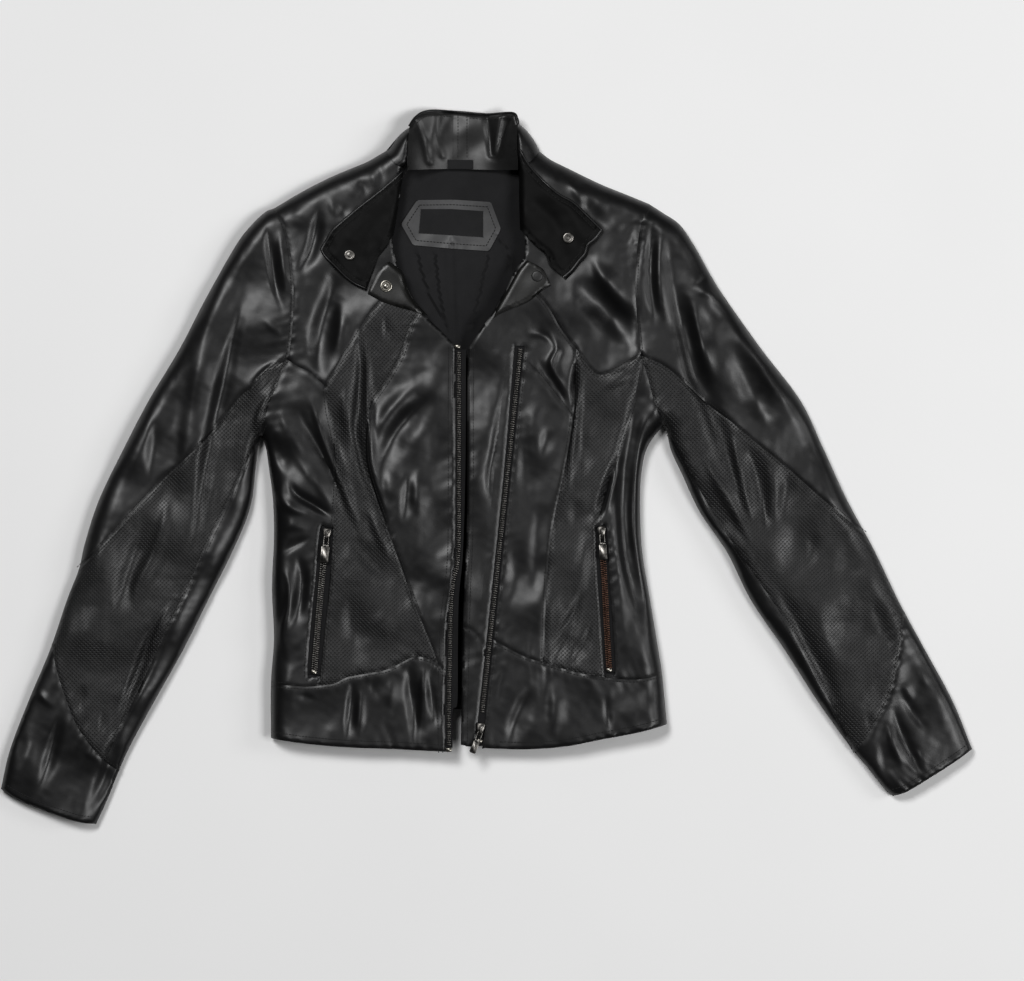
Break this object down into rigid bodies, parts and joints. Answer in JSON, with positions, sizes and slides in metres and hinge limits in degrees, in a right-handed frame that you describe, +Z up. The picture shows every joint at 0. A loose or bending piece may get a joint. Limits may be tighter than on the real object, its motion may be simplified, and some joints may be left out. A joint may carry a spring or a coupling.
{
  "type": "leather riding jacket",
  "caption": "Black leather riding jacket lying open and flat on its back, with folded-out collar, slanting front zip, zipped pockets and long sleeves.",
  "frame": {"origin": "on the floor under the centre of the jacket's plan outline, the jacket lying on its back", "axes": "+X to the wearer's left sleeve, +Y towards the collar, +Z up from the floor through the back to the fronts"},
  "size_m": [0.973, 0.713, 0.0356],
  "materials": {
    "leather_black": "semi-gloss black nappa",
    "leather_perforated": "semi-gloss black nappa, finely perforated",
    "leather_inside": "satin black facing leather",
    "patch_leather": "matt dark grey leather",
    "lining_cloth": "matt black twill lining",
    "zip_tape": "black pocket cloth and tape",
    "label_cloth": "plain woven label, blank",
    "dark_nickel": "antiqued dark nickel",
    "copper_teeth": "aged copper teeth",
    "ring_nickel": "bright nickel ring"
  },
  "bodies": {
    "torso": {"back_panel": "leather_black", "back_lining": "lining_cloth", "back_hem_facing": "leather_inside", "lining_patch": "patch_leather", "blank_label": "label_cloth", "neck_facing": "leather_inside", "neck_tab": "label_cloth", "collar_back_outer": "leather_black", "collar_inner": "leather_inside", "collar_centre_strip": "leather_inside", "side_panel_left": "leather_black", "side_panel_right": "leather_black", "front_shoulder_left": "leather_black", "front_shoulder_right": "leather_black", "front_chest_perforated_left": "leather_perforated", "front_chest_perforated_right": "leather_perforated", "front_side_left": "leather_black", "front_side_right": "leather_black", "front_lower_perforated_left": "leather_perforated", "front_lower_perforated_right": "leather_perforated", "front_centre_right": "leather_black", "hem_band_left": "leather_black", "hem_band_right": "leather_black", "front_lining_left": "lining_cloth", "front_lining_right": "lining_cloth", "zip_row_right": "dark_nickel", "pocket_bag_left": "zip_tape", "pocket_bag_right": "zip_tape", "pocket_zip_left": "dark_nickel", "pocket_zip_right": "copper_teeth"},
    "sleeve_left": {"sleeve_upper_left": "leather_black", "sleeve_forearm_left": "leather_perforated", "sleeve_cuff_left": "leather_black", "sleeve_under_left": "leather_black", "sleeve_side_left": "leather_black", "sleeve_lining_left": "lining_cloth"},
    "sleeve_right": {"sleeve_upper_right": "leather_black", "sleeve_forearm_right": "leather_perforated", "sleeve_cuff_right": "leather_black", "sleeve_under_right": "leather_black", "sleeve_side_right": "leather_black", "sleeve_lining_right": "lining_cloth"},
    "front_turnback": {"front_centre_left": "leather_black", "hem_band_left_inner": "leather_black", "front_lining_left_inner": "lining_cloth", "zip_row_left": "dark_nickel"},
    "front_flap": {"front_flap_right": "leather_black"},
    "collar_left": {"collar_flap_left": "leather_black", "snap_cap_collar_left": "dark_nickel"},
    "collar_right": {"collar_flap_right": "leather_black", "snap_socket_collar_right": "dark_nickel"},
    "lapel_left": {"lapel_left": "leather_inside", "snap_stud_lapel_left": "ring_nickel"},
    "lapel_right": {"lapel_right": "leather_inside"},
    "main_slider": {"main_slider": "dark_nickel"},
    "main_pull": {"main_pull": "dark_nickel"},
    "pocket_slider_left": {"pocket_slider_left": "dark_nickel"},
    "pocket_pull_left": {"pocket_pull_left": "dark_nickel"},
    "pocket_slider_right": {"pocket_slider_right": "dark_nickel"},
    "pocket_pull_right": {"pocket_pull_right": "dark_nickel"}
  },
  "joints": [
    {"name": "sleeve_left_fold", "type": "hinge", "parent": "torso", "child": "sleeve_left", "pos_m": [-0.193, 0.15, 0.0304], "axis": [0, 1, 0], "range_deg": [0, 80]},
    {"name": "sleeve_right_fold", "type": "hinge", "parent": "torso", "child": "sleeve_right", "pos_m": [0.148, 0.15, 0.0304], "axis": [0, -1, 0], "range_deg": [0, 80]},
    {"name": "front_left_turnback", "type": "hinge", "parent": "torso", "child": "front_turnback", "pos_m": [-0.03, 0.121, 0.0304], "axis": [-0.3568, -0.9342, 0], "range_deg": [0, 80]},
    {"name": "front_right_flap", "type": "hinge", "parent": "torso", "child": "front_flap", "pos_m": [0.02, 0.118, 0.0304], "axis": [0.1023, 0.9948, 0], "range_deg": [0, 80]},
    {"name": "collar_left_fold", "type": "hinge", "parent": "torso", "child": "collar_left", "pos_m": [-0.086, 0.292, 0.0344], "axis": [0.1587, 0.9873, 0], "range_deg": [0, 80]},
    {"name": "collar_right_fold", "type": "hinge", "parent": "torso", "child": "collar_right", "pos_m": [0.037, 0.29, 0.0344], "axis": [0, -1, 0], "range_deg": [0, 80]},
    {"name": "lapel_left_fold", "type": "hinge", "parent": "torso", "child": "lapel_left", "pos_m": [-0.0915, 0.206, 0.032], "axis": [-0.5445, 0.8388, 0], "range_deg": [0, 75]},
    {"name": "lapel_right_fold", "type": "hinge", "parent": "torso", "child": "lapel_right", "pos_m": [-0.0185, 0.124, 0.032], "axis": [-0.5318, -0.8469, 0], "range_deg": [0, 75]},
    {"name": "main_zip_slide", "type": "slide", "parent": "torso", "child": "main_slider", "axis": [0.1045, 0.9945, 0], "range_m": [0, 0.368]},
    {"name": "main_pull_swing", "type": "hinge", "parent": "main_slider", "child": "main_pull", "pos_m": [-0.00667, -0.26382, 0.0338], "axis": [-0.9272, 0.3746, 0], "range_deg": [0, 95]},
    {"name": "pocket_zip_slide_left", "type": "slide", "parent": "torso", "child": "pocket_slider_left", "axis": [-0.1011, -0.9949, 0], "range_m": [0, 0.118]},
    {"name": "pocket_pull_swing_left", "type": "hinge", "parent": "pocket_slider_left", "child": "pocket_pull_left", "pos_m": [-0.15991, -0.06895, 0.0338], "axis": [-0.9949, 0.1011, 0], "range_deg": [0, 95]},
    {"name": "pocket_zip_slide_right", "type": "slide", "parent": "torso", "child": "pocket_slider_right", "axis": [0.0645, -0.9979, 0], "range_m": [0, 0.118]},
    {"name": "pocket_pull_swing_right", "type": "hinge", "parent": "pocket_slider_right", "child": "pocket_pull_right", "pos_m": [0.11458, -0.06698, 0.0338], "axis": [-0.9979, -0.0645, 0], "range_deg": [0, 95]}
  ]
}
